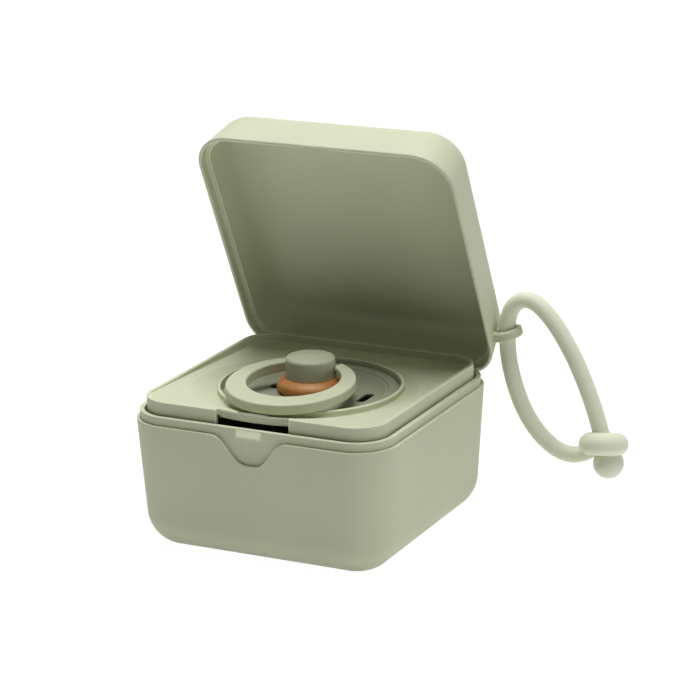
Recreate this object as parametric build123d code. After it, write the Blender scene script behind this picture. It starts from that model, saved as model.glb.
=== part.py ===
from build123d import *
import math
import os

# Pacifier case with its pacifier, millimetres.
# Origin at the middle of the case's foot, on the surface it stands on. +Z is up.
# The front, with the thumb scoop, faces -Y, and the strap hangs on the +X side.

# Outer shell
shell_half = 35.0
shell_corner = 10.6
shell_height = 33.1
shell_draft = 2.0
shell_foot_fillet = 9.3
shell_floor = 1.8
shell_wall = 1.9
shell_lip_wall = 0.85
shell_lip_depth = 9.1
scoop_width = 20.8
scoop_depth = 7.0
scoop_flat = 1.8
scoop_ease = 4.4
rim_relief_depth = 0.95

# Inner container
nest_gap = 0.1
container_floor = 1.4
container_rim_rise = 2.2
container_rim_wall = 1.15
container_wall = 1.1
seat_depth = 5.3
catch_width = 6.7
catch_height = 1.7
catch_reach = 0.55
catch_drop = 0.25

# Tray that holds the pacifier
cup_y = -1.0
tray_gap = 0.3127
tray_corner = 8.1
tray_wall = 1.2
tray_rise = 3.3
tray_lip_wall = 0.9
tray_plate = 1.4
tray_fall = 2.5
dish_slope = 0.32
bead_radius = 23.3
bead_wall = 0.7
bead_top_drop = 1.1
bead_foot_drop = 2.7
cup_bottom_drop = 4.9
cup_chamfer = 0.7
cup_ledge_drop = 3.8
cup_hole_radius = 19.0
grip_width = 19.8
grip_recess = 0.7
grip_bow_radius = 47.0
grip_lip_drop = 2.2
seat_gap = 0.05

# Lid, hinge and strap eye
lid_open = 64.5
lid_overhang = 0.45
lid_corner = 10.4
lid_gap = 0.3
lid_height = 14.7
lid_draft = 2.3
lid_crown_fillet = 5.2
lid_wall = 1.8
lid_skirt_gap = 0.4
lid_ledge_gap = 0.4
lid_edge_round = 0.35
hinge_inset = 0.4
hinge_rise = 0.3
hinge_notch_inset = 4.5
pin_radius = 0.5
pin_play = 0.05
knuckle_radius = 1.15
knuckle_gap = 0.3
lid_knuckle_length = 15.0
shell_knuckle_length = 6.0
knuckle_clearance = 0.35
eye_reach = 2.55
eye_inset = 10.3
eye_rise = 6.1
eye_axis = (0.26, 0.9, -0.33)
eye_hole_radius = 2.75
eye_ring_wall = 1.2
eye_ring_height = 2.4

# Pacifier
shield_radius = 22.0
shield_thickness = 1.6
shield_rim_width = 2.2
shield_dish = 0.8
vent_length = 7.3
vent_width = 2.6
vent_circle_radius = 15.0
hole_radius = 1.9
hole_circle_radius = 9.5
neck_radius = 4.4
nipple_wall = 1.3
teat_radius = 8.0
neck_length = 9.0
teat_length = 27.0
collar_foot_radius = 7.6
collar_belly_radius = 8.5
collar_belly_rise = 1.4
collar_top_radius = 6.5
knob_radius = 6.2
knob_rise = 3.0
knob_height = 5.2
knob_crown = 0.7
knob_edge_round = 0.8
plug_radius = 1.9
ring_outer_radius = 16.1
ring_hole_radius = 11.7
ring_hole_shift = 1.6
ring_thickness = 2.7
ring_edge_round = 0.45
ring_end_gap = 0.7
ring_tilt = 4.8
ring_axis_y = 1.3
ring_end_depth = 3.0
ring_axis_rise = 1.75
ring_pin_radius = 1.2
ring_pin_length = 2.8
ring_recess_radius = 1.6
ring_recess_depth = 1.0

# Strap
cord_diameter = 4.2
ball_radius = 3.9
collar_place = (26.35, 0.03, -26.23)
collar_axis = (0.1, -0.28, -0.955)
collar_ring_radius = 3.35
collar_tube_radius = 2.9

# The strap's route, measured from the middle of the opened lid's eye: from the side
# of its collar, under and up through the eye, over, and down through the collar.
cord_route = [
    (23.05, 3.43, -28.43),
    (19.75, 1.73, -30.73),
    (14.85, 0.43, -30.33),
    (9.75, 0.03, -26.83),
    (5.45, 0.03, -21.53),
    (2.25, 0.03, -14.53),
    (0.25, 0.03, -6.53),
    (-0.05, 0.03, -0.03),
    (0.15, 0.03, 3.87),
    (1.35, 0.03, 7.17),
    (3.75, 0.03, 9.27),
    (6.85, 0.03, 9.37),
    (10.05, 0.03, 7.27),
    (13.85, 0.03, 2.97),
    (18.15, 0.03, -3.93),
    (21.95, 0.03, -12.23),
    (25.25, 0.03, -21.43),
    (27.65, 0.03, -30.93),
]
ball_place = (27.70, 0.03, -31.13)

# Places that follow from the sizes above
hinge_y = shell_half - hinge_inset
hinge_z = shell_height + hinge_rise
hinge_notch_width = 2 * (shell_half - hinge_notch_inset)
shell_ledge_z = shell_height - shell_lip_depth
container_rim_z = shell_height + container_rim_rise
seat_z = container_rim_z - seat_depth
seat_half = shell_half - shell_draft * (shell_height - seat_z) / shell_height
tray_half = seat_half - shell_lip_wall - nest_gap - container_rim_wall - tray_gap
tray_top_z = container_rim_z + tray_rise
bead_top_z = tray_top_z - bead_top_drop
bead_foot_z = tray_top_z - bead_foot_drop
cup_bottom_z = tray_top_z - cup_bottom_drop
cup_ledge_z = tray_top_z - cup_ledge_drop
shield_top_z = cup_ledge_z + shield_thickness
knob_bottom_z = shield_top_z + knob_rise
knob_top_z = knob_bottom_z + knob_height
ring_axis_z = knob_bottom_z + ring_axis_rise
eye_centre = (shell_half + eye_reach, shell_half - eye_inset, shell_height + eye_rise)


def from_eye(place):
    """A point given from the middle of the opened lid's eye, in the case's frame."""
    turn = math.radians(lid_open)
    across = eye_centre[1] - hinge_y
    up = eye_centre[2] - hinge_z
    open_y = hinge_y + across * math.cos(turn) + up * math.sin(turn)
    open_z = hinge_z - across * math.sin(turn) + up * math.cos(turn)
    return (eye_centre[0] + place[0], open_y + place[1], open_z + place[2])


def half_at(z):
    """Half width of the case's outside at a height."""
    return shell_half - shell_draft * (shell_height - z) / shell_height


def tapered_block(inset, low, high):
    """The case's outline drawn in by inset, between two heights."""
    faces = []
    for z in (low, high):
        half = half_at(z) - inset
        corner = shell_corner - inset - (shell_half - half_at(z)) / 2
        faces.append(Pos(0, 0, z) * RectangleRounded(2 * half, 2 * half, corner))
    return loft(faces, ruled=True)


def foot_rounded(block, radius):
    """The same block with its lowest edges rounded."""
    return fillet(block.edges().group_by(Axis.Z)[0], radius)


def box_between(x0, x1, y0, y1, z0, z1):
    """An axis-aligned box from its limits."""
    middle = Pos((x0 + x1) / 2, (y0 + y1) / 2, (z0 + z1) / 2)
    return middle * Box(x1 - x0, y1 - y0, z1 - z0)


def disc(radius, low, high):
    """An upright cylinder between two heights, centred on the cup."""
    return Pos(0, cup_y, (low + high) / 2) * Cylinder(radius, high - low)


def hinge_rod(radius, x0, x1):
    """A cylinder on the lid's hinge axis."""
    rod = Rotation(0, 90, 0) * Cylinder(radius, x1 - x0)
    return Pos((x0 + x1) / 2, hinge_y, hinge_z) * rod


def scoop_cutter():
    """The thumb scoop: a dip in the front of the shell's rim with soft shoulders."""
    top = shell_height
    bottom = shell_height - scoop_depth
    side = scoop_width / 2
    flat = scoop_flat / 2
    outer = side - scoop_ease
    inner = flat + scoop_ease
    with BuildSketch(Plane.XZ) as sketch:
        with BuildLine():
            Line((-side, top + 1), (-side, top))
            Bezier((-side, top), (-outer, top), (-inner, bottom), (-flat, bottom))
            Line((-flat, bottom), (flat, bottom))
            Bezier((flat, bottom), (inner, bottom), (outer, top), (side, top))
            Line((side, top), (side, top + 1))
            Line((side, top + 1), (-side, top + 1))
        make_face()
    depth = shell_half + 1
    return extrude(sketch.sketch, amount=depth) - box_between(
        -side, side, -shell_half + shell_wall + shell_draft, 1, bottom - 1, top + 2
    )


def outer_shell():
    """The outer casing, with the thumb scoop and two hinge knuckles."""
    body = foot_rounded(tapered_block(0, 0, shell_height), shell_foot_fillet)
    low = tapered_block(shell_wall, shell_floor, shell_ledge_z)
    body -= foot_rounded(low, shell_foot_fillet - shell_wall)
    body -= tapered_block(shell_lip_wall, shell_ledge_z, shell_height + 1)
    body -= scoop_cutter()
    relief_half = hinge_notch_width / 2
    relief_z = shell_height - rim_relief_depth
    body -= box_between(-relief_half, relief_half, hinge_y - 2, hinge_y + 2, relief_z, shell_height + 1)
    inner = lid_knuckle_length / 2 + knuckle_gap
    outer = inner + shell_knuckle_length
    gap_z = hinge_z - knuckle_radius - knuckle_clearance
    body -= box_between(-inner, inner, hinge_y - 2, hinge_y + 2, gap_z, shell_height + 1)
    inner_face = shell_half - shell_lip_wall
    for side in (-1, 1):
        x0, x1 = sorted((side * inner, side * outer))
        knuckle = hinge_rod(knuckle_radius, x0, x1)
        web_low = hinge_z - 2 * knuckle_radius - 1.0
        with BuildSketch(Plane.YZ.offset(x0)) as sketch:
            with BuildLine():
                Polyline(
                    (inner_face, hinge_z),
                    (inner_face, web_low),
                    (shell_half - 0.3, web_low),
                    (hinge_y + knuckle_radius, hinge_z - 0.3),
                    (hinge_y + knuckle_radius, hinge_z),
                    close=True,
                )
            make_face()
        body += extrude(sketch.sketch, amount=x1 - x0)
        body += knuckle
    body -= hinge_rod(pin_radius + pin_play, -outer - 1, outer + 1)
    return body


def inner_container():
    """The liner that nests in the shell, with its rim band and front catch."""
    low_inset = shell_wall + nest_gap
    band_inset = shell_lip_wall + nest_gap
    step_z = shell_ledge_z + nest_gap
    floor_z = shell_floor + nest_gap
    body = foot_rounded(tapered_block(low_inset, floor_z, step_z), shell_foot_fillet - low_inset)
    body += tapered_block(band_inset, step_z, container_rim_z)
    cavity_inset = low_inset + container_wall
    cavity = tapered_block(cavity_inset, floor_z + container_floor, seat_z)
    body -= foot_rounded(cavity, shell_foot_fillet - cavity_inset)
    body -= tapered_block(band_inset + container_rim_wall, seat_z, container_rim_z + 1)
    face_y = -(half_at(container_rim_z) - band_inset)
    catch_top = container_rim_z - catch_drop
    with BuildSketch(Plane.YZ.offset(-catch_width / 2)) as sketch:
        with BuildLine():
            Polyline(
                (face_y + 0.4, catch_top),
                (face_y, catch_top),
                (face_y - catch_reach, catch_top - catch_height),
                (face_y + 0.4, catch_top - catch_height),
                close=True,
            )
        make_face()
    body += extrude(sketch.sketch, amount=catch_width)
    slot_half = lid_knuckle_length / 2 + knuckle_gap + shell_knuckle_length + knuckle_gap
    slot_z = hinge_z - knuckle_radius - knuckle_clearance
    slot_y = hinge_y - knuckle_radius - knuckle_clearance
    body -= box_between(-slot_half, slot_half, slot_y, shell_half + 1, slot_z, container_rim_z + 1)
    return body


def tray_block(inset, low, high):
    """The tray's straight-sided outline drawn in by inset, between two heights."""
    width = 2 * (tray_half - inset)
    outline = RectangleRounded(width, width, tray_corner - inset)
    return extrude(Pos(0, 0, low) * outline, amount=high - low)


def tray_open_air(drop):
    """The space above the tray's sloping plate and round dish, lowered by drop."""
    reach = 2 * shell_half
    fall = math.degrees(math.atan(tray_fall / reach))
    slab = Box(2 * reach, 2 * reach, reach, align=(Align.CENTER, Align.CENTER, Align.MIN))
    slab = Pos(0, -tray_half, tray_top_z - drop) * Rotation(-fall, 0, 0) * slab
    rise = 6.0
    cone = Cone(bead_radius, bead_radius + rise / dish_slope, rise)
    return slab + Pos(0, cup_y, bead_foot_z - drop + rise / 2) * cone


def tray():
    """The lift-out tray: tilted top, round dish and a ringed cup for the pacifier."""
    low = seat_z + seat_gap
    body = tray_block(0, low, tray_top_z)
    cup_low = disc(bead_radius, cup_bottom_z, tray_top_z)
    cavity = tray_block(tray_wall, low - 1, tray_top_z) - tray_open_air(tray_plate)
    cavity -= cup_low
    opening = tray_block(tray_lip_wall, low, tray_top_z + 1)
    body -= tray_open_air(0) & opening
    body -= cavity
    cup = disc(bead_radius, cup_bottom_z, bead_top_z)
    cup = chamfer(cup.edges().group_by(Axis.Z)[0], cup_chamfer)
    cup = fillet(cup.edges().group_by(Axis.Z)[-1], bead_wall * 0.4)
    body -= disc(bead_radius, low, tray_top_z)
    body += cup
    body -= disc(bead_radius - bead_wall, cup_ledge_z, tray_top_z)
    body -= disc(cup_hole_radius, low, tray_top_z)
    return body - finger_grip(low) + grip_lip()


def grip_bow(inset):
    """The round block whose front is the notch's bowed edge, drawn in by inset."""
    upright = (Align.CENTER, Align.CENTER, Align.MIN)
    block = Cylinder(grip_bow_radius - inset, 2 * tray_top_z, align=upright)
    return Pos(0, grip_bow_radius + grip_recess - tray_half, 0) * block


def grip_lip():
    """The bowed lip that hangs along the plate's edge above the finger notch."""
    side = grip_width / 2
    window_top = tray_top_z - grip_lip_drop
    span = box_between(-side, side, -tray_half, -bead_radius, window_top, tray_top_z)
    return (span & (grip_bow(0) - grip_bow(tray_wall))) - tray_open_air(0)


def finger_grip(low):
    """The finger notch: a window in the tray's front wall under a bowed lip."""
    side = grip_width / 2
    inside_y = -tray_half + tray_wall
    front = box_between(-side, side, -shell_half, inside_y, low - 1, tray_top_z + 1)
    front -= grip_bow(0)
    window_top = tray_top_z - grip_lip_drop
    return front + box_between(-side, side, -shell_half, inside_y + 0.1, low - 1, window_top)


def lid_block(inset, low, high, fillet_radius):
    """The closed lid's outline drawn in by inset, crowned at the top."""
    faces = []
    for z in (low, high):
        share = (z - shell_height - lid_gap) / lid_height
        half = shell_half + lid_overhang - lid_draft * share - inset
        corner = lid_corner - lid_draft * share * 0.5 - inset
        faces.append(Pos(0, 0, z) * RectangleRounded(2 * half, 2 * half, corner))
    block = loft(faces, ruled=True)
    if fillet_radius:
        block = fillet(block.edges().group_by(Axis.Z)[-1], fillet_radius)
    return block


def closed_lid():
    """The lid as it lies when shut, before it is swung open."""
    low = shell_height + lid_gap
    top = low + lid_height
    body = lid_block(0, low, top, lid_crown_fillet)
    body = fillet(body.edges().group_by(Axis.Z)[0], lid_edge_round)
    ledge_z = container_rim_z + lid_ledge_gap
    cavity_fillet = lid_crown_fillet - lid_wall * 0.6
    body -= lid_block(lid_wall, ledge_z, top - lid_wall, cavity_fillet)
    rim_outer = half_at(container_rim_z) - shell_lip_wall - nest_gap
    skirt_inset = shell_half + lid_overhang - rim_outer - lid_skirt_gap
    body -= lid_block(skirt_inset, low - 1, ledge_z, 0)
    catch_y = rim_outer + catch_reach + lid_skirt_gap * 0.6
    catch_half = catch_width / 2 + lid_skirt_gap
    catch_top = container_rim_z + lid_ledge_gap * 0.5
    body -= box_between(-catch_half, catch_half, -catch_y, -rim_outer + 1, low - 1, catch_top)
    notch_half = hinge_notch_width / 2
    notch_z = hinge_z + 0.5
    body -= box_between(-notch_half, notch_half, hinge_y - 4, shell_half + 2, low - 1, notch_z)
    shell_inner = lid_knuckle_length / 2 + knuckle_gap
    shell_outer = shell_inner + shell_knuckle_length + knuckle_gap
    for side in (-1, 1):
        x0, x1 = sorted((side * (shell_inner - knuckle_gap), side * shell_outer))
        body -= hinge_rod(knuckle_radius + knuckle_clearance, x0, x1)
    length = lid_knuckle_length / 2
    body += hinge_rod(knuckle_radius, -length, length)
    web_top = hinge_z + 2 * knuckle_radius + 1.2
    wall_y = rim_outer + lid_skirt_gap
    with BuildSketch(Plane.YZ.offset(-length)) as sketch:
        with BuildLine():
            Polyline(
                (wall_y, hinge_z),
                (hinge_y + knuckle_radius, hinge_z),
                (hinge_y + knuckle_radius, hinge_z + 0.3),
                (shell_half + 0.1, web_top),
                (wall_y, web_top),
                close=True,
            )
        make_face()
    body += extrude(sketch.sketch, amount=2 * length)
    body -= hinge_rod(pin_radius + pin_play, -length - 1, length + 1)
    body += strap_eye()
    return body


def strap_eye():
    """The ring on the lid's right wall that the strap runs through."""
    place = Plane(origin=eye_centre, z_dir=eye_axis)
    outer = Cylinder(eye_hole_radius + eye_ring_wall, eye_ring_height)
    outer = fillet(outer.edges().filter_by(GeomType.CIRCLE), eye_ring_wall * 0.45)
    ring = place * (outer - Cylinder(eye_hole_radius, 2 * eye_ring_height))
    wall_x = shell_half + lid_overhang - lid_draft * (eye_centre[2] - shell_height) / lid_height
    reach = 4 * (eye_hole_radius + eye_ring_wall)
    beside = Pos(wall_x - lid_wall * 0.6, eye_centre[1], eye_centre[2])
    return ring & beside * Box(reach, reach, reach, align=(Align.MIN, Align.CENTER, Align.CENTER))


def lid():
    """The lid, swung open about its hinge as photographed."""
    axis = Axis((0, hinge_y, hinge_z), (1, 0, 0))
    return closed_lid().rotate(axis, -lid_open)


def hinge_pin():
    """The plain pin through all the knuckles."""
    reach = lid_knuckle_length / 2 + knuckle_gap + shell_knuckle_length
    return hinge_rod(pin_radius, -reach, reach)


def pacifier_shield():
    """The round shield with a raised rim, slots and holes for air, and the neck's hole."""
    low = cup_ledge_z + seat_gap
    body = disc(shield_radius, low, shield_top_z)
    body = fillet(body.edges().group_by(Axis.Z)[-1], 0.7)
    body = fillet(body.edges().group_by(Axis.Z)[0], 0.5)
    dish_radius = shield_radius - shield_rim_width
    dish = Cone(dish_radius - shield_dish, dish_radius, shield_dish)
    body -= Pos(0, cup_y, shield_top_z - shield_dish / 2) * dish
    for turn in (-90, 30, 150):
        slot = SlotOverall(vent_length, vent_width)
        slot = Pos(0, cup_y, low - 1) * Rotation(0, 0, turn) * Pos(0, vent_circle_radius, 0) * slot
        body -= extrude(slot, amount=4)
    for side in (-1, 1):
        body -= Pos(side * hole_circle_radius, 0, 0) * disc(hole_radius, low - 1, shield_top_z)
    return body - disc(neck_radius + seat_gap, low - 1, shield_top_z + 1)


def pacifier_nipple():
    """The soft nipple: collar above the shield, neck through it and the teat below."""
    floor_z = shield_top_z - shield_dish + seat_gap
    low = cup_ledge_z
    top = knob_bottom_z - seat_gap
    tip = low - teat_length
    bulb_z = tip + teat_radius
    throat_z = low - neck_length
    belly = (collar_belly_radius, floor_z + collar_belly_rise)
    with BuildSketch(Plane.XZ) as sketch:
        with BuildLine():
            Line((plug_radius + seat_gap, top), (collar_top_radius, top))
            Spline((collar_top_radius, top), belly, tangents=((1, -0.7), (0, -1)))
            Spline(belly, (collar_foot_radius, floor_z), tangents=((0, -1), (-0.8, -1)))
            Polyline(
                (collar_foot_radius, floor_z),
                (neck_radius, floor_z),
                (neck_radius, throat_z),
            )
            Spline(
                (neck_radius, throat_z),
                (teat_radius, bulb_z),
                tangents=((0, -1), (0, -1)),
            )
            RadiusArc((teat_radius, bulb_z), (0, tip), teat_radius)
            Line((0, tip), (0, tip + nipple_wall))
            RadiusArc((0, tip + nipple_wall), (teat_radius - nipple_wall, bulb_z), -(teat_radius - nipple_wall))
            Spline(
                (teat_radius - nipple_wall, bulb_z),
                (neck_radius - nipple_wall, throat_z),
                tangents=((0, 1), (0, 1)),
            )
            Polyline(
                (neck_radius - nipple_wall, throat_z),
                (neck_radius - nipple_wall, low),
                (plug_radius + seat_gap, low),
                (plug_radius + seat_gap, top),
            )
        make_face()
    return Pos(0, cup_y, 0) * revolve(sketch.sketch, Axis.Z)


def pacifier_knob():
    """The round knob, crowned on top, with a socket in each side for the ring."""
    body = disc(knob_radius, knob_bottom_z, knob_top_z)
    body = fillet(body.edges().group_by(Axis.Z)[-1], knob_edge_round)
    ball = (knob_radius**2 + knob_crown**2) / (2 * knob_crown)
    crown = Pos(0, cup_y, knob_top_z + knob_crown * 0.7 - ball) * Sphere(ball)
    body += crown & disc(knob_radius - knob_edge_round, knob_top_z - 1, knob_top_z + knob_crown)
    socket = Rotation(0, 90, 0) * Cylinder(ring_pin_radius + pin_play, ring_pin_length + 1)
    recess = Rotation(0, 90, 0) * Cylinder(ring_recess_radius, ring_recess_depth + 1)
    for side in (-1, 1):
        reach = side * (knob_radius + ring_end_gap - ring_pin_length / 2 + 0.1)
        body -= Pos(reach, ring_axis_y, ring_axis_z) * socket
        recess_middle = side * (knob_radius - ring_recess_depth / 2 + 0.5)
        body -= Pos(recess_middle, ring_axis_y, ring_axis_z) * recess
    hole_top = knob_bottom_z + 1.2
    return body - disc(plug_radius + seat_gap, knob_bottom_z - 1, hole_top)


def pacifier_plug():
    """The hidden stud under the knob that spreads inside the nipple's neck."""
    top = knob_bottom_z + 1.2 - seat_gap
    head_top = cup_ledge_z - seat_gap
    head = neck_radius - nipple_wall - 0.1
    body = disc(plug_radius, head_top - 1, top)
    return body + disc(head, head_top - 2.0, head_top)


def pacifier_ring():
    """The flat ring handle, open at the knob, with a pin in each end."""
    centre_y = ring_axis_y - ring_outer_radius + ring_end_depth
    flat = Circle(ring_outer_radius) - Pos(0, ring_hole_shift) * Circle(ring_hole_radius)
    cut = knob_radius + ring_end_gap
    flat -= Pos(0, ring_outer_radius) * Rectangle(2 * cut, ring_outer_radius)
    body = extrude(Pos(0, centre_y, ring_axis_z - ring_thickness / 2) * flat, amount=ring_thickness)
    flats = body.faces().filter_by(Axis.Z)
    rims = [e for f in flats for e in f.edges() if e.length > ring_outer_radius]
    body = fillet(rims, ring_edge_round)
    pin = Rotation(0, 90, 0) * Cylinder(ring_pin_radius, ring_pin_length)
    for side in (-1, 1):
        middle = side * (cut - ring_pin_length / 2 + 0.4)
        body += Pos(middle, ring_axis_y, ring_axis_z) * pin
    axis = Axis((0, ring_axis_y, ring_axis_z), (1, 0, 0))
    return body.rotate(axis, ring_tilt)


def route_radii(points):
    """The radius of each corner's arc, as large as its two runs allow."""
    radii = []
    for before, here, after in zip(points, points[1:], points[2:]):
        into = Vector(*here) - Vector(*before)
        out = Vector(*after) - Vector(*here)
        turn = math.radians(into.get_angle(out))
        radii.append(0.45 * min(into.length, out.length) / math.tan(turn / 2))
    return radii


def strap_cord():
    """The strap's cord, from the side of its collar round to the ball."""
    points = [from_eye(place) for place in cord_route]
    radii = route_radii(points)
    print("cord radii", [round(r, 1) for r in radii])
    path = FilletPolyline(*points, radius=radii)
    start = Plane(origin=path @ 0, z_dir=path % 0)
    body = sweep(start * Circle(cord_diameter / 2), path=path)
    expected = math.pi * (cord_diameter / 2) ** 2 * path.length
    print("cord length", round(path.length, 1), "volume share", round(body.volume / expected, 4))
    return body


def strap_collar():
    """The thick ring that the ball is pulled up against to close the loop."""
    place = Plane(origin=from_eye(collar_place), z_dir=collar_axis)
    ring = place * Torus(collar_ring_radius, collar_tube_radius)
    return ring - Pos(*from_eye(ball_place)) * Sphere(ball_radius + seat_gap)


def strap_ball():
    """The ball on the cord's end."""
    return Pos(*from_eye(ball_place)) * Sphere(ball_radius)


def main():
    os.makedirs("parts", exist_ok=True)
    cord = strap_cord()
    pieces = {
        "outer_shell": outer_shell(),
        "inner_container": inner_container(),
        "tray": tray(),
        "lid": lid(),
        "hinge_pin": hinge_pin(),
        "pacifier_shield": pacifier_shield(),
        "pacifier_nipple": pacifier_nipple(),
        "pacifier_knob": pacifier_knob(),
        "pacifier_plug": pacifier_plug(),
        "pacifier_ring": pacifier_ring(),
        "strap_cord": cord,
        "strap_collar": strap_collar() - cord,
        "strap_ball": strap_ball() - cord,
    }
    for name, shape in pieces.items():
        export_step(shape, f"parts/{name}.step")
        print(name, "solids", len(shape.solids()), "volume", round(shape.volume, 1))


main()
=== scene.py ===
"""A sage green pacifier case, its pacifier and its strap, dressed for rendering."""

import math

import bpy
from mathutils import Matrix, Vector


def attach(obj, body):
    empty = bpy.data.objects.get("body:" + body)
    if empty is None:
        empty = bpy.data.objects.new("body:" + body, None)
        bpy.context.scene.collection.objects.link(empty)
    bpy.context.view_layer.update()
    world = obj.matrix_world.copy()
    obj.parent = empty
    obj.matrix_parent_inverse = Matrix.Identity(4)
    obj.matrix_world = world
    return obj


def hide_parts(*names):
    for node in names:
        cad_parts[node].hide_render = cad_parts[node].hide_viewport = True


bl_info = {
    "name": "Pacifier case",
    "version": (1, 0, 0),
    "blender": (4, 5, 0),
    "location": "View3D > Sidebar > Pacifier case",
    "description": "Finishes the pacifier case's parts and makes its strap and studio",
    "category": "Object",
}

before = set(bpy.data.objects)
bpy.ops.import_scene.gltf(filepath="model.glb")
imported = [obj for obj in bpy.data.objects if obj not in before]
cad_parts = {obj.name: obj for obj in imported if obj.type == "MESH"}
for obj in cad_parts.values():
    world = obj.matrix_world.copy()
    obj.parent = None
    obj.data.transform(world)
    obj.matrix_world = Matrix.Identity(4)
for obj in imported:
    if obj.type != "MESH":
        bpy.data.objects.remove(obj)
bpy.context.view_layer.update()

# Middle of the opened lid's eye in the frame, in metres. The strap's route and the places
# of its collar and ball are measured from it.
EYE = Vector((0.03755, 0.035573, 0.044833))
CORD_ROUTE = [
    (0.02305, 0.00343, -0.02843),
    (0.01975, 0.00173, -0.03073),
    (0.01485, 0.00043, -0.03033),
    (0.00975, 0.00003, -0.02683),
    (0.00545, 0.00003, -0.02153),
    (0.00225, 0.00003, -0.01453),
    (0.00025, 0.00003, -0.00653),
    (-0.00005, 0.00003, -0.00003),
    (0.00015, 0.00003, 0.00387),
    (0.00135, 0.00003, 0.00717),
    (0.00375, 0.00003, 0.00927),
    (0.00685, 0.00003, 0.00937),
    (0.01005, 0.00003, 0.00727),
    (0.01385, 0.00003, 0.00297),
    (0.01815, 0.00003, -0.00393),
    (0.02195, 0.00003, -0.01223),
    (0.02525, 0.00003, -0.02143),
    (0.02765, 0.00003, -0.03093),
]
COLLAR_PLACE = (0.02635, 0.00003, -0.02623)
COLLAR_AXIS = (0.1, -0.28, -0.955)
BALL_PLACE = (0.0277, 0.00003, -0.03113)

# Shares of a piece's own colour: clouds, painted highlights on edges and catch, painted light
# on the tray, painted shade on the shield
CLOUDINESS = 0.025
EDGE_HIGHLIGHT_SHARE = 1.55
CATCH_HIGHLIGHT_SHARE = 1.65
TRAY_LIGHT_SHARE = 1.05
SHIELD_SHADE_SHARE = 0.7

# Cosines between the true and the eased normal where an edge's painted highlight starts and is
# strongest
EDGE_STARTS = 0.984
EDGE_FULL = 0.955

# Shares of the finish's edge radius for the liner and the pacifier's ring
LINER_EDGE_SHARE = 0.8
RING_EDGE_SHARE = 0.6

# The skin's wider pits, as shares of the grain's scale and of its height
PIT_SCALE = 0.5
PIT_SHARE = 0.35

# The strap's soft rubber
STRAP_ROUGHNESS = 0.62
STRAP_EDGE_RADIUS = 0.0002
STRAP_GRAIN = 1900.0
STRAP_SHEEN = 0.15

# Latex: how light passes through it, and the shares of its colour where it looks deepest
LATEX_ROUGHNESS = 0.42
LATEX_GRAIN = 1500.0
LATEX_GRAIN_DEPTH = 0.00002
LATEX_SOFTNESS = 0.35
LATEX_DEPTHS = (0.8, 0.66, 0.6)
SOFT_REACH = (1.0, 0.55, 0.25)
SOFT_DEPTH = 0.0015

# The hinge pin's drawn steel, with lines that run along the hinge's axis
STEEL_COLOUR = (0.56, 0.55, 0.53, 1.0)
STEEL_LINES = (60.0, 9000.0, 9000.0)

# The box round the catch on the front of the liner's rim, where a highlight is painted, in
# metres
CATCH_LOW = (-0.00337, -0.0348, 0.0333)
CATCH_HIGH = (0.00337, -0.03407, 0.03508)

# Where the photograph was taken from, in metres, and how the camera was turned
CAMERA_PLACE = (0.3035, -0.5887, 0.2450)
CAMERA_RIGHT = (0.8976, 0.4408, -0.0178)
CAMERA_BACK = (0.4266, -0.8573, 0.2882)
CAMERA_LENS = 143.05

# What the softboxes point at, and for each its name, the setting for its power, its place
# and its width and height, all in metres
STUDIO_AIM = (0.0, 0.0, 0.03)
SOFTBOXES = (
    ("Overhead light", "overhead", (0.0, 0.0, 0.85), 0.5, 0.5),
    ("Light behind", "behind", (-0.2, 0.3, 0.75), 0.4, 0.4),
    ("Right light", "right", (0.75, 0.0, 0.12), 0.4, 0.2),
    ("Upper right light", "right_above", (0.45, 0.1, 0.75), 0.4, 0.4),
)

# The floor: its colour, how white it glows to the camera and the share of that glow, and
# the distance from its middle to each side
FLOOR_COLOUR = (0.86, 0.86, 0.85, 1.0)
FLOOR_WHITE = 1.107
FLOOR_WHITE_SHARE = 0.85
FLOOR_SIZE = 3.0


def from_eye(place):
    """A point given from the middle of the lid's eye, in the frame."""
    return EYE + Vector(place)


class CaseFinish(bpy.types.PropertyGroup):
    """Colours and surface of the moulded pieces."""

    body_colour: bpy.props.FloatVectorProperty(
        name="Body colour",
        description="Plastic of the shell, liner, tray and lid",
        subtype="COLOR",
        min=0,
        max=1,
        default=(0.575, 0.603, 0.430),
    )
    # Painted shade: a darker copy of the body colour, for the lid's shadow over the shield,
    # knob and plug
    shaded_pacifier_colour: bpy.props.FloatVectorProperty(
        name="Shaded pacifier colour",
        description="Body plastic darkened as painted shade, for the shield, knob and plug",
        subtype="COLOR",
        min=0,
        max=1,
        default=(0.475, 0.503, 0.360),
    )
    strap_colour: bpy.props.FloatVectorProperty(
        name="Strap colour",
        description="Soft rubber of the strap",
        subtype="COLOR",
        min=0,
        max=1,
        default=(0.77, 0.795, 0.62),
    )
    latex_colour: bpy.props.FloatVectorProperty(
        name="Latex colour",
        description="Natural rubber of the nipple",
        subtype="COLOR",
        min=0,
        max=1,
        default=(0.555, 0.25, 0.066),
    )
    edge_radius: bpy.props.FloatProperty(
        name="Edge radius",
        description="How far the moulded edges are eased",
        unit="LENGTH",
        min=0,
        max=0.002,
        default=0.0006,
    )
    roughness: bpy.props.FloatProperty(
        name="Roughness",
        description="Roughness of the satin moulded skin",
        subtype="FACTOR",
        min=0,
        max=1,
        default=0.55,
    )


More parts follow.
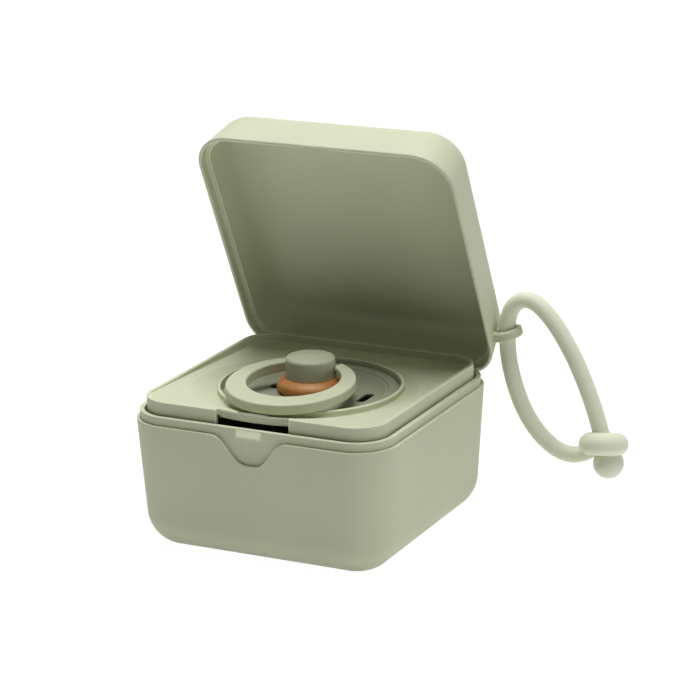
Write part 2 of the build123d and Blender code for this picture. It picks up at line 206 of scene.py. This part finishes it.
class StrapSizes(bpy.types.PropertyGroup):
    """Sizes of the strap's pieces."""

    cord_diameter: bpy.props.FloatProperty(
        name="Cord diameter",
        description="Thickness of the strap's cord",
        unit="LENGTH",
        min=0.001,
        default=0.0042,
    )
    ring_radius: bpy.props.FloatProperty(
        name="Collar ring radius",
        description="From the collar's middle to the middle of its tube",
        unit="LENGTH",
        min=0.001,
        default=0.00335,
    )
    tube_radius: bpy.props.FloatProperty(
        name="Collar tube radius",
        description="Half the thickness of the collar",
        unit="LENGTH",
        min=0.001,
        default=0.0029,
    )
    ball_radius: bpy.props.FloatProperty(
        name="Ball radius",
        description="Half the thickness of the ball at the strap's end",
        unit="LENGTH",
        min=0.001,
        default=0.0039,
    )


class StudioLight(bpy.types.PropertyGroup):
    """Strength of the studio's lights."""

    overhead: bpy.props.FloatProperty(
        name="Overhead",
        description="Power of the softbox above the case",
        unit="POWER",
        min=0,
        default=5.7,
    )
    behind: bpy.props.FloatProperty(
        name="Behind",
        description="Power of the softbox above and behind the case",
        unit="POWER",
        min=0,
        default=1.4,
    )
    right: bpy.props.FloatProperty(
        name="Right",
        description="Power of the low softbox on the right",
        unit="POWER",
        min=0,
        default=0.7,
    )
    right_above: bpy.props.FloatProperty(
        name="Right above",
        description="Power of the high softbox on the right",
        unit="POWER",
        min=0,
        default=0.6,
    )
    floor_glow: bpy.props.FloatProperty(
        name="Floor glow",
        description="Light that the white floor gives back",
        min=0,
        default=0.18,
    )
    around: bpy.props.FloatProperty(
        name="Around",
        description="Strength of the even light from all round",
        min=0,
        default=0.01,
    )


def node(tree, kind, place, **values):
    """Adds a node and sets its fields and the plain values of its inputs."""
    made = tree.nodes.new(kind)
    made.location = place
    for key, value in values.items():
        if key in made.bl_rna.properties:
            setattr(made, key, value)
        else:
            made.inputs[key.replace("_", " ")].default_value = value
    return made


def group_tree(name, inputs, outputs):
    """A shader node group with its sockets, and its input and output nodes."""
    tree = bpy.data.node_groups.new(name, "ShaderNodeTree")
    for label, kind, value in inputs:
        socket = tree.interface.new_socket(label, in_out="INPUT", socket_type=kind)
        socket.default_value = value
    for label, kind in outputs:
        tree.interface.new_socket(label, in_out="OUTPUT", socket_type=kind)
    start = node(tree, "NodeGroupInput", (-1000, 0))
    end = node(tree, "NodeGroupOutput", (800, 0))
    return tree, start, end


def eased_edges_group():
    """Rounds the look of moulded edges, and masks where they are, for the painted highlight
    along them.
    """
    inputs = [("Radius", "NodeSocketFloat", 0.0003)]
    outputs = [("Normal", "NodeSocketVector"), ("Edge", "NodeSocketFloat")]
    tree, start, end = group_tree("Eased edges", inputs, outputs)
    link = tree.links.new
    bevel = node(tree, "ShaderNodeBevel", (-700, 100), samples=6)
    shape = node(tree, "ShaderNodeNewGeometry", (-700, -150))
    dot = node(tree, "ShaderNodeVectorMath", (-450, 0), operation="DOT_PRODUCT")
    mask = node(tree, "ShaderNodeMapRange", (-200, 0), From_Min=EDGE_STARTS, From_Max=EDGE_FULL)
    link(start.outputs["Radius"], bevel.inputs["Radius"])
    link(bevel.outputs["Normal"], dot.inputs[0])
    link(shape.outputs["Normal"], dot.inputs[1])
    link(dot.outputs["Value"], mask.inputs["Value"])
    link(bevel.outputs["Normal"], end.inputs["Normal"])
    link(mask.outputs["Result"], end.inputs["Edge"])
    return tree


def moulded_skin_group():
    """The fine skin and faint cloudiness of moulded plastic and rubber."""
    inputs = [
        ("Grain", "NodeSocketFloat", 2400.0),
        ("Clouds", "NodeSocketFloat", 45.0),
    ]
    outputs = [
        ("Height", "NodeSocketFloat"),
        ("Tone", "NodeSocketFloat"),
        ("Shine", "NodeSocketFloat"),
    ]
    tree, start, end = group_tree("Moulded skin", inputs, outputs)
    link = tree.links.new
    coords = node(tree, "ShaderNodeTexCoord", (-1000, -250))
    grain = node(tree, "ShaderNodeTexNoise", (-600, 200), Detail=3.0, Roughness=0.6)
    clouds = node(tree, "ShaderNodeTexNoise", (-600, -100), Detail=2.0, Roughness=0.5)
    pits = node(tree, "ShaderNodeTexVoronoi", (-600, -400), Randomness=1.0)
    scale = node(tree, "ShaderNodeMath", (-800, -400), operation="MULTIPLY")
    scale.inputs[1].default_value = PIT_SCALE
    pit_depth = node(tree, "ShaderNodeMapRange", (-350, -400), From_Max=0.5)
    height = node(tree, "ShaderNodeMath", (-100, 200), operation="MULTIPLY_ADD")
    height.inputs[1].default_value = PIT_SHARE
    shine = node(tree, "ShaderNodeMapRange", (-100, -250), To_Min=-0.04, To_Max=0.05)
    tone = node(tree, "ShaderNodeMapRange", (-100, 0), From_Min=0.3, From_Max=0.7)
    for texture in (grain, clouds, pits):
        link(coords.outputs["Object"], texture.inputs["Vector"])
    link(start.outputs["Grain"], grain.inputs["Scale"])
    link(start.outputs["Clouds"], clouds.inputs["Scale"])
    link(start.outputs["Grain"], scale.inputs[0])
    link(scale.outputs["Value"], pits.inputs["Scale"])
    link(pits.outputs["Distance"], pit_depth.inputs["Value"])
    link(pit_depth.outputs["Result"], height.inputs[0])
    link(grain.outputs["Fac"], height.inputs[2])
    link(clouds.outputs["Fac"], tone.inputs["Value"])
    link(grain.outputs["Fac"], shine.inputs["Value"])
    link(height.outputs["Value"], end.inputs["Height"])
    link(tone.outputs["Result"], end.inputs["Tone"])
    link(shine.outputs["Result"], end.inputs["Shine"])
    return tree


def shared_group(name):
    """The named shader group, built at its first use."""
    made = bpy.data.node_groups.get(name)
    if made is None:
        builders = {"Eased edges": eased_edges_group, "Moulded skin": moulded_skin_group}
        made = builders[name]()
    return made


def mix_colours(tree, place, factor, first, second):
    """Mixes two colours, each a socket or plain numbers, by a socket or number."""
    mix = node(tree, "ShaderNodeMix", place, data_type="RGBA", blend_type="MIX")
    for index, value in ((0, factor), (6, first), (7, second)):
        if isinstance(value, bpy.types.NodeSocket):
            tree.links.new(value, mix.inputs[index])
        else:
            mix.inputs[index].default_value = value
    return mix.outputs[2]


def shifted(colour, share):
    """A colour made lighter or darker, with its alpha."""
    return tuple(min(1.0, c * share) for c in colour) + (1.0,)


def moulded(name, colour, roughness, edge, grain=2400.0, depth=0.00001, soft=0.0, sheen=0.0):
    """A moulded plastic or rubber finish with eased edges and a painted highlight along them.
    """
    material = bpy.data.materials.new(name)
    material.use_nodes = True
    tree = material.node_tree
    tree.nodes.clear()
    link = tree.links.new
    skin = node(tree, "ShaderNodeGroup", (-900, -100), node_tree=shared_group("Moulded skin"))
    skin.inputs["Grain"].default_value = grain
    eased = node(tree, "ShaderNodeGroup", (-900, 200), node_tree=shared_group("Eased edges"))
    eased.inputs["Radius"].default_value = edge
    shader = node(tree, "ShaderNodeBsdfPrincipled", (200, 0), IOR=1.46)
    shader.inputs["Sheen Weight"].default_value = sheen
    shader.inputs["Sheen Roughness"].default_value = 0.5
    if soft:
        shader.inputs["Subsurface Weight"].default_value = soft
        shader.inputs["Subsurface Radius"].default_value = SOFT_REACH
        shader.inputs["Subsurface Scale"].default_value = SOFT_DEPTH
    darker, paler = shifted(colour, 1 - CLOUDINESS), shifted(colour, 1 + CLOUDINESS)
    clouded = mix_colours(tree, (-500, 100), skin.outputs["Tone"], darker, paler)
    # Painted highlight: eased edges are mixed towards a paler copy of the colour, for the light
    # their rounding catches
    edge_highlight = shifted(colour, EDGE_HIGHLIGHT_SHARE)
    edged = mix_colours(tree, (-250, 100), eased.outputs["Edge"], clouded, edge_highlight)
    level = node(tree, "ShaderNodeMath", (-250, -150), operation="ADD")
    level.inputs[1].default_value = roughness
    bump = node(tree, "ShaderNodeBump", (-250, -350), Strength=0.5, Distance=depth)
    out = node(tree, "ShaderNodeOutputMaterial", (500, 0))
    link(edged, shader.inputs["Base Color"])
    link(skin.outputs["Shine"], level.inputs[0])
    link(level.outputs["Value"], shader.inputs["Roughness"])
    link(skin.outputs["Height"], bump.inputs["Height"])
    link(eased.outputs["Normal"], bump.inputs["Normal"])
    link(bump.outputs["Normal"], shader.inputs["Normal"])
    link(shader.outputs["BSDF"], out.inputs["Surface"])
    return material


def painted_highlight_patch(material, low, high, colour):
    """Paints a highlight in another colour on the part of a piece between two corners of the
    frame.
    """
    tree = material.node_tree
    shader = next(n for n in tree.nodes if n.type == "BSDF_PRINCIPLED")
    before = shader.inputs["Base Color"].links[0].from_socket
    coords = node(tree, "ShaderNodeTexCoord", (-1200, 900))
    split = node(tree, "ShaderNodeSeparateXYZ", (-1000, 900))
    tree.links.new(coords.outputs["Object"], split.inputs["Vector"])
    inside = None
    for axis in range(3):
        for edge, operation in ((low[axis], "GREATER_THAN"), (high[axis], "LESS_THAN")):
            row = 900 - 200 * axis
            test = node(tree, "ShaderNodeMath", (-800, row), operation=operation)
            test.inputs[1].default_value = edge
            tree.links.new(split.outputs[axis], test.inputs[0])
            if inside is None:
                inside = test.outputs["Value"]
                continue
            both = node(tree, "ShaderNodeMath", (-600, row), operation="MULTIPLY")
            tree.links.new(inside, both.inputs[0])
            tree.links.new(test.outputs["Value"], both.inputs[1])
            inside = both.outputs["Value"]
    result = mix_colours(tree, (0, 400), inside, before, colour)
    tree.links.new(result, shader.inputs["Base Color"])


def latex(name, colour, edge):
    """Amber latex: cloudy, softly see-through, a little darker in its depth."""
    material = moulded(
        name,
        colour,
        LATEX_ROUGHNESS,
        edge,
        grain=LATEX_GRAIN,
        depth=LATEX_GRAIN_DEPTH,
        soft=LATEX_SOFTNESS,
    )
    tree = material.node_tree
    shader = next(n for n in tree.nodes if n.type == "BSDF_PRINCIPLED")
    before = shader.inputs["Base Color"].links[0].from_socket
    coords = node(tree, "ShaderNodeTexCoord", (-900, 600))
    clouds = node(tree, "ShaderNodeTexNoise", (-700, 600), Scale=160.0, Detail=3.0)
    tree.links.new(coords.outputs["Object"], clouds.inputs["Vector"])
    spread = node(tree, "ShaderNodeMapRange", (-500, 600), From_Min=0.35, From_Max=0.7)
    tree.links.new(clouds.outputs["Fac"], spread.inputs["Value"])
    deep = (*(c * share for c, share in zip(colour, LATEX_DEPTHS)), 1.0)
    result = mix_colours(tree, (0, 250), spread.outputs["Result"], before, deep)
    tree.links.new(result, shader.inputs["Base Color"])
    return material


def brushed_steel(name):
    """Drawn steel wire, with fine lines along the hinge's axis."""
    material = bpy.data.materials.new(name)
    material.use_nodes = True
    tree = material.node_tree
    tree.nodes.clear()
    coords = node(tree, "ShaderNodeTexCoord", (-900, 0))
    stretch = node(tree, "ShaderNodeMapping", (-700, 0), Scale=STEEL_LINES)
    lines = node(tree, "ShaderNodeTexNoise", (-500, 0), Scale=1.0, Detail=2.0)
    level = node(tree, "ShaderNodeMapRange", (-250, 0), To_Min=0.25, To_Max=0.5)
    shader = node(tree, "ShaderNodeBsdfPrincipled", (0, 0), Metallic=1.0)
    shader.inputs["Base Color"].default_value = STEEL_COLOUR
    out = node(tree, "ShaderNodeOutputMaterial", (300, 0))
    tree.links.new(coords.outputs["Object"], stretch.inputs["Vector"])
    tree.links.new(stretch.outputs["Vector"], lines.inputs["Vector"])
    tree.links.new(lines.outputs["Fac"], level.inputs["Value"])
    tree.links.new(level.outputs["Result"], shader.inputs["Roughness"])
    tree.links.new(shader.outputs["BSDF"], out.inputs["Surface"])
    return material


def finish_node(name, material):
    """Gives a part of the frame its material."""
    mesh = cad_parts[name].data
    mesh.materials.clear()
    mesh.materials.append(material)


class PACIFIERCASE_OT_case(bpy.types.Operator):
    """Finish the outer shell, the nested liner and the hinge pin"""

    bl_idname = "pacifiercase.case"
    bl_label = "Finish shell and liner"

    def execute(self, context):
        finish = context.scene.case_finish
        edge = finish.edge_radius
        shell = moulded("Casing plastic", finish.body_colour, finish.roughness, edge)
        liner_edge = edge * LINER_EDGE_SHARE
        liner = moulded("Liner plastic", finish.body_colour, finish.roughness, liner_edge)
        # Painted highlight: the catch on the liner's rim takes a paler colour, for the light
        # that its sloping face catches
        painted_highlight_patch(liner, CATCH_LOW, CATCH_HIGH, shifted(finish.body_colour, CATCH_HIGHLIGHT_SHARE))
        finish_node("outer_shell", shell)
        finish_node("inner_container", liner)
        finish_node("hinge_pin", brushed_steel("Hinge steel"))
        return {"FINISHED"}


class PACIFIERCASE_OT_tray(bpy.types.Operator):
    """Finish the lift-out tray"""

    bl_idname = "pacifiercase.tray"
    bl_label = "Finish tray"

    def execute(self, context):
        finish = context.scene.case_finish
        # Painted light: the tray takes a lighter copy of the body colour, standing in for the
        # light on its top
        colour = shifted(finish.body_colour, TRAY_LIGHT_SHARE)[:3]
        tray = moulded("Tray plastic", colour, finish.roughness, finish.edge_radius)
        finish_node("tray", tray)
        return {"FINISHED"}


class PACIFIERCASE_OT_lid(bpy.types.Operator):
    """Finish the hinged lid with its strap eye"""

    bl_idname = "pacifiercase.lid"
    bl_label = "Finish lid"

    def execute(self, context):
        finish = context.scene.case_finish
        lid = moulded("Lid plastic", finish.body_colour, finish.roughness, finish.edge_radius)
        finish_node("lid", lid)
        return {"FINISHED"}


class PACIFIERCASE_OT_pacifier(bpy.types.Operator):
    """Finish the pacifier: shield, nipple, knob, plug and ring"""

    bl_idname = "pacifiercase.pacifier"
    bl_label = "Finish pacifier"

    def execute(self, context):
        finish = context.scene.case_finish
        # The pacifier colour is a darker copy of the body colour, painted shade for the lid's
        # shadow over the knob and plug
        colour = finish.shaded_pacifier_colour
        edge = finish.edge_radius
        # Painted shade: the shield takes a still darker copy of the pacifier colour, for the
        # lid's shadow on it
        shade = shifted(colour, SHIELD_SHADE_SHARE)[:3]
        shield = moulded("Shield plastic", shade, finish.roughness, edge)
        knob = moulded("Knob plastic", colour, finish.roughness, edge)
        ring_edge = edge * RING_EDGE_SHARE
        ring = moulded("Ring plastic", finish.body_colour, finish.roughness, ring_edge)
        finish_node("pacifier_shield", shield)
        finish_node("pacifier_knob", knob)
        finish_node("pacifier_plug", knob)
        finish_node("pacifier_ring", ring)
        finish_node("pacifier_nipple", latex("Natural latex", finish.latex_colour, edge))
        return {"FINISHED"}


def plain_mesh(maker, tree, name, values):
    """Runs a Geometry Nodes tree on an empty mesh and keeps its result as a mesh."""
    modifier = maker.modifiers.new("Shape", "NODES")
    modifier.node_group = tree
    for item in tree.interface.items_tree:
        if item.item_type == "SOCKET" and item.in_out == "INPUT" and item.name in values:
            modifier[item.identifier] = values[item.name]
    view = bpy.context.evaluated_depsgraph_get()
    mesh = bpy.data.meshes.new_from_object(maker.evaluated_get(view))
    mesh.name = name
    maker.modifiers.remove(modifier)
    maker.data = mesh
    return maker


def ring_tree():
    """Geometry Nodes: a thick round ring from a circle swept along a circle."""
    tree = bpy.data.node_groups.new("Collar ring", "GeometryNodeTree")
    made = tree.interface.new_socket
    made("Geometry", in_out="INPUT", socket_type="NodeSocketGeometry")
    for label, value in (("Ring radius", 0.003), ("Tube radius", 0.002)):
        socket = made(label, in_out="INPUT", socket_type="NodeSocketFloat")
        socket.default_value = value
    made("Centre", in_out="INPUT", socket_type="NodeSocketVector")
    made("Turn", in_out="INPUT", socket_type="NodeSocketVector")
    made("Material", in_out="INPUT", socket_type="NodeSocketMaterial")
    made("Geometry", in_out="OUTPUT", socket_type="NodeSocketGeometry")
    start = node(tree, "NodeGroupInput", (-900, 0))
    path = node(tree, "GeometryNodeCurvePrimitiveCircle", (-650, 150), Resolution=128)
    profile = node(tree, "GeometryNodeCurvePrimitiveCircle", (-650, -150), Resolution=56)
    sweep = node(tree, "GeometryNodeCurveToMesh", (-250, 100))
    smooth = node(tree, "GeometryNodeSetShadeSmooth", (-50, 100))
    place = node(tree, "GeometryNodeTransform", (150, 100))
    real = node(tree, "GeometryNodeRealizeInstances", (350, 100))
    paint = node(tree, "GeometryNodeSetMaterial", (550, 100))
    end = node(tree, "NodeGroupOutput", (750, 100))
    link = tree.links.new
    link(start.outputs["Ring radius"], path.inputs["Radius"])
    link(start.outputs["Tube radius"], profile.inputs["Radius"])
    link(path.outputs["Curve"], sweep.inputs["Curve"])
    link(profile.outputs["Curve"], sweep.inputs["Profile Curve"])
    link(sweep.outputs["Mesh"], smooth.inputs["Geometry"])
    link(smooth.outputs["Geometry"], place.inputs["Geometry"])
    link(start.outputs["Centre"], place.inputs["Translation"])
    link(start.outputs["Turn"], place.inputs["Rotation"])
    link(place.outputs["Geometry"], real.inputs["Geometry"])
    link(real.outputs["Geometry"], paint.inputs["Geometry"])
    link(start.outputs["Material"], paint.inputs["Material"])
    link(paint.outputs["Geometry"], end.inputs["Geometry"])
    return tree


def new_piece(name, data):
    """Links a new object that holds the data to the scene."""
    piece = bpy.data.objects.new(name, data)
    bpy.context.scene.collection.objects.link(piece)
    return piece


def strap_curve(sizes, material):
    """The strap's cord as one smooth open curve."""
    curve = bpy.data.curves.new("strap_line", "CURVE")
    curve.dimensions = "3D"
    curve.resolution_u = 12
    spline = curve.splines.new("NURBS")
    spline.points.add(len(CORD_ROUTE) - 1)
    for point, place in zip(spline.points, CORD_ROUTE):
        point.co = (*from_eye(place), 1.0)
    spline.order_u = 3
    spline.use_endpoint_u = True
    curve.bevel_depth = sizes.cord_diameter / 2
    curve.bevel_resolution = 10
    curve.use_fill_caps = True
    curve.materials.append(material)
    return new_piece("strap_line", curve)


def strap_end(sizes, material):
    """The soft ball at the strap's end."""
    rows, around = 40, 64
    radius = sizes.ball_radius
    axis = -Vector(COLLAR_AXIS).normalized()
    turn = axis.to_track_quat("Z", "Y").to_matrix()
    middle = from_eye(BALL_PLACE)
    points = []
    for row in range(1, rows):
        lift = math.pi * row / rows
        for step in range(around):
            angle = 2 * math.pi * step / around
            flat = radius * math.sin(lift)
            high = radius * math.cos(lift)
            place = Vector((flat * math.cos(angle), flat * math.sin(angle), high))
            points.append(middle + turn @ place)
    points.append(middle + turn @ Vector((0, 0, radius)))
    points.append(middle + turn @ Vector((0, 0, -radius)))
    top, foot = len(points) - 2, len(points) - 1
    faces = []
    for row in range(rows - 2):
        for step in range(around):
            here = row * around + step
            beside = row * around + (step + 1) % around
            faces.append((here, here + around, beside + around, beside))
    last = (rows - 2) * around
    for step in range(around):
        beside = (step + 1) % around
        faces.append((top, step, beside))
        faces.append((foot, last + beside, last + step))
    mesh = bpy.data.meshes.new("strap_end")
    mesh.from_pydata([tuple(p) for p in points], [], faces)
    mesh.shade_smooth()
    mesh.materials.append(material)
    return new_piece("strap_end", mesh)


class PACIFIERCASE_OT_strap(bpy.types.Operator):
    """Make the strap: its cord, the collar that closes the loop and the ball"""

    bl_idname = "pacifiercase.strap"
    bl_label = "Make strap"

    def execute(self, context):
        finish = context.scene.case_finish
        sizes = context.scene.strap_sizes
        rubber = moulded(
            "Strap rubber",
            finish.strap_colour,
            STRAP_ROUGHNESS,
            STRAP_EDGE_RADIUS,
            grain=STRAP_GRAIN,
            sheen=STRAP_SHEEN,
        )
        cord = strap_curve(sizes, rubber)
        collar = new_piece("strap_ring", bpy.data.meshes.new("strap_ring"))
        turn = Vector(COLLAR_AXIS).to_track_quat("Z", "Y").to_euler()
        values = {
            "Ring radius": sizes.ring_radius,
            "Tube radius": sizes.tube_radius,
            "Centre": tuple(from_eye(COLLAR_PLACE)),
            "Turn": tuple(turn),
            "Material": rubber,
        }
        plain_mesh(collar, ring_tree(), "strap_ring", values)
        ball = strap_end(sizes, rubber)
        for piece, part, slot in (
            (cord, "strap_cord", "cord"),
            (collar, "strap_collar", "collar"),
            (ball, "strap_ball", "ball"),
        ):
            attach(piece, "strap")
            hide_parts(part)
        return {"FINISHED"}


def softbox(name, place, width, height, power):
    """A rectangular soft light that points at the case."""
    lamp = bpy.data.lights.new(name, "AREA")
    lamp.shape = "RECTANGLE"
    lamp.size = width
    lamp.size_y = height
    lamp.energy = power
    holder = bpy.data.objects.new(name, lamp)
    bpy.context.scene.collection.objects.link(holder)
    holder.location = place
    holder.rotation_mode = "QUATERNION"
    holder.rotation_quaternion = (Vector(STUDIO_AIM) - Vector(place)).to_track_quat("-Z", "Y")


def seen_directly(tree, place):
    """A socket that is 1 for what the camera sees, also through gloss and glass."""
    path = node(tree, "ShaderNodeLightPath", place)
    first = node(tree, "ShaderNodeMath", (place[0] + 200, place[1]), operation="MAXIMUM")
    both = node(tree, "ShaderNodeMath", (place[0] + 400, place[1]), operation="MAXIMUM")
    tree.links.new(path.outputs["Is Camera Ray"], first.inputs[0])
    tree.links.new(path.outputs["Is Glossy Ray"], first.inputs[1])
    tree.links.new(first.outputs["Value"], both.inputs[0])
    tree.links.new(path.outputs["Is Transmission Ray"], both.inputs[1])
    return both.outputs["Value"]


def white_surroundings(strength):
    """White to the camera, and an even pale light of the given strength."""
    world = bpy.data.worlds.new("Studio")
    bpy.context.scene.world = world
    world.use_nodes = True
    tree = world.node_tree
    tree.nodes.clear()
    even = node(tree, "ShaderNodeBackground", (0, 150), Strength=strength)
    even.inputs["Color"].default_value = (1.0, 1.0, 0.99, 1.0)
    white = node(tree, "ShaderNodeBackground", (0, -50), Strength=1.0)
    white.inputs["Color"].default_value = (1.0, 1.0, 1.0, 1.0)
    mix = node(tree, "ShaderNodeMixShader", (250, 50))
    out = node(tree, "ShaderNodeOutputWorld", (450, 50))
    tree.links.new(seen_directly(tree, (-600, 0)), mix.inputs["Fac"])
    tree.links.new(even.outputs["Background"], mix.inputs[1])
    tree.links.new(white.outputs["Background"], mix.inputs[2])
    tree.links.new(mix.outputs["Shader"], out.inputs["Surface"])


def pale_floor(glow):
    """A wide matt white floor that keeps a faint shadow and gives back some light."""
    size = FLOOR_SIZE
    mesh = bpy.data.meshes.new("floor")
    corners = [(-size, -size, 0), (size, -size, 0), (size, size, 0), (-size, size, 0)]
    mesh.from_pydata(corners, [], [(0, 1, 2, 3)])
    material = bpy.data.materials.new("Floor")
    material.use_nodes = True
    tree = material.node_tree
    tree.nodes.clear()
    matt = node(tree, "ShaderNodeBsdfDiffuse", (-250, 150))
    matt.inputs["Color"].default_value = FLOOR_COLOUR
    back = node(tree, "ShaderNodeEmission", (-250, 0), Strength=glow)
    lit = node(tree, "ShaderNodeAddShader", (0, 150))
    white = node(tree, "ShaderNodeEmission", (0, -50), Strength=FLOOR_WHITE)
    share = node(tree, "ShaderNodeMath", (0, 350), operation="MULTIPLY")
    share.inputs[1].default_value = FLOOR_WHITE_SHARE
    mix = node(tree, "ShaderNodeMixShader", (250, 50))
    out = node(tree, "ShaderNodeOutputMaterial", (450, 50))
    tree.links.new(matt.outputs["BSDF"], lit.inputs[0])
    tree.links.new(back.outputs["Emission"], lit.inputs[1])
    tree.links.new(seen_directly(tree, (-600, 0)), share.inputs[0])
    tree.links.new(share.outputs["Value"], mix.inputs["Fac"])
    tree.links.new(lit.outputs["Shader"], mix.inputs[1])
    tree.links.new(white.outputs["Emission"], mix.inputs[2])
    tree.links.new(mix.outputs["Shader"], out.inputs["Surface"])
    mesh.materials.append(material)
    floor = new_piece("floor", mesh)


def camera_at_photo():
    """The camera, where the photograph was taken from."""
    data = bpy.data.cameras.new("Camera")
    data.sensor_width = 36.0
    data.lens = CAMERA_LENS
    data.clip_start = 0.05
    data.clip_end = 20.0
    holder = bpy.data.objects.new("Camera", data)
    bpy.context.scene.collection.objects.link(holder)
    right = Vector(CAMERA_RIGHT).normalized()
    back = Vector(CAMERA_BACK).normalized()
    up = back.cross(right).normalized()
    right = up.cross(back)
    turn = Matrix((right, up, back)).transposed()
    holder.matrix_world = Matrix.Translation(CAMERA_PLACE) @ turn.to_4x4()
    bpy.context.scene.camera = holder


class PACIFIERCASE_OT_studio(bpy.types.Operator):
    """Set up the floor, the lights and the camera"""

    bl_idname = "pacifiercase.studio"
    bl_label = "Make studio"

    def execute(self, context):
        light = context.scene.studio_light
        camera_at_photo()
        pale_floor(light.floor_glow)
        white_surroundings(light.around)
        for name, setting, place, width, height in SOFTBOXES:
            softbox(name, place, width, height, getattr(light, setting))
        context.scene.view_settings.view_transform = "Standard"
        return {"FINISHED"}


class PACIFIERCASE_PT_panel(bpy.types.Panel):
    """The case's pieces and studio"""

    bl_label = "Pacifier case"
    bl_idname = "PACIFIERCASE_PT_panel"
    bl_space_type = "VIEW_3D"
    bl_region_type = "UI"
    bl_category = "Pacifier case"

    def draw(self, context):
        layout = self.layout
        for group in ("case_finish", "strap_sizes", "studio_light"):
            settings = getattr(context.scene, group)
            box = layout.box()
            for name in settings.__annotations__:
                box.prop(settings, name)
        for operator in OPERATORS:
            layout.operator(operator.bl_idname)


OPERATORS = (
    PACIFIERCASE_OT_studio,
    PACIFIERCASE_OT_strap,
    PACIFIERCASE_OT_case,
    PACIFIERCASE_OT_tray,
    PACIFIERCASE_OT_lid,
    PACIFIERCASE_OT_pacifier,
)
CLASSES = (CaseFinish, StrapSizes, StudioLight, *OPERATORS, PACIFIERCASE_PT_panel)


def register():
    """Registers the classes and hangs the settings on the scene."""
    for item in CLASSES:
        bpy.utils.register_class(item)
    bpy.types.Scene.case_finish = bpy.props.PointerProperty(type=CaseFinish)
    bpy.types.Scene.strap_sizes = bpy.props.PointerProperty(type=StrapSizes)
    bpy.types.Scene.studio_light = bpy.props.PointerProperty(type=StudioLight)


def unregister():
    """Takes the settings and classes away again."""
    del bpy.types.Scene.studio_light
    del bpy.types.Scene.strap_sizes
    del bpy.types.Scene.case_finish
    for item in reversed(CLASSES):
        bpy.utils.unregister_class(item)


def main():
    """Makes everything in order."""
    register()
    bpy.ops.pacifiercase.studio()
    bpy.ops.pacifiercase.strap()
    bpy.ops.pacifiercase.case()
    bpy.ops.pacifiercase.tray()
    bpy.ops.pacifiercase.lid()
    bpy.ops.pacifiercase.pacifier()


if __name__ == "__main__":
    main()
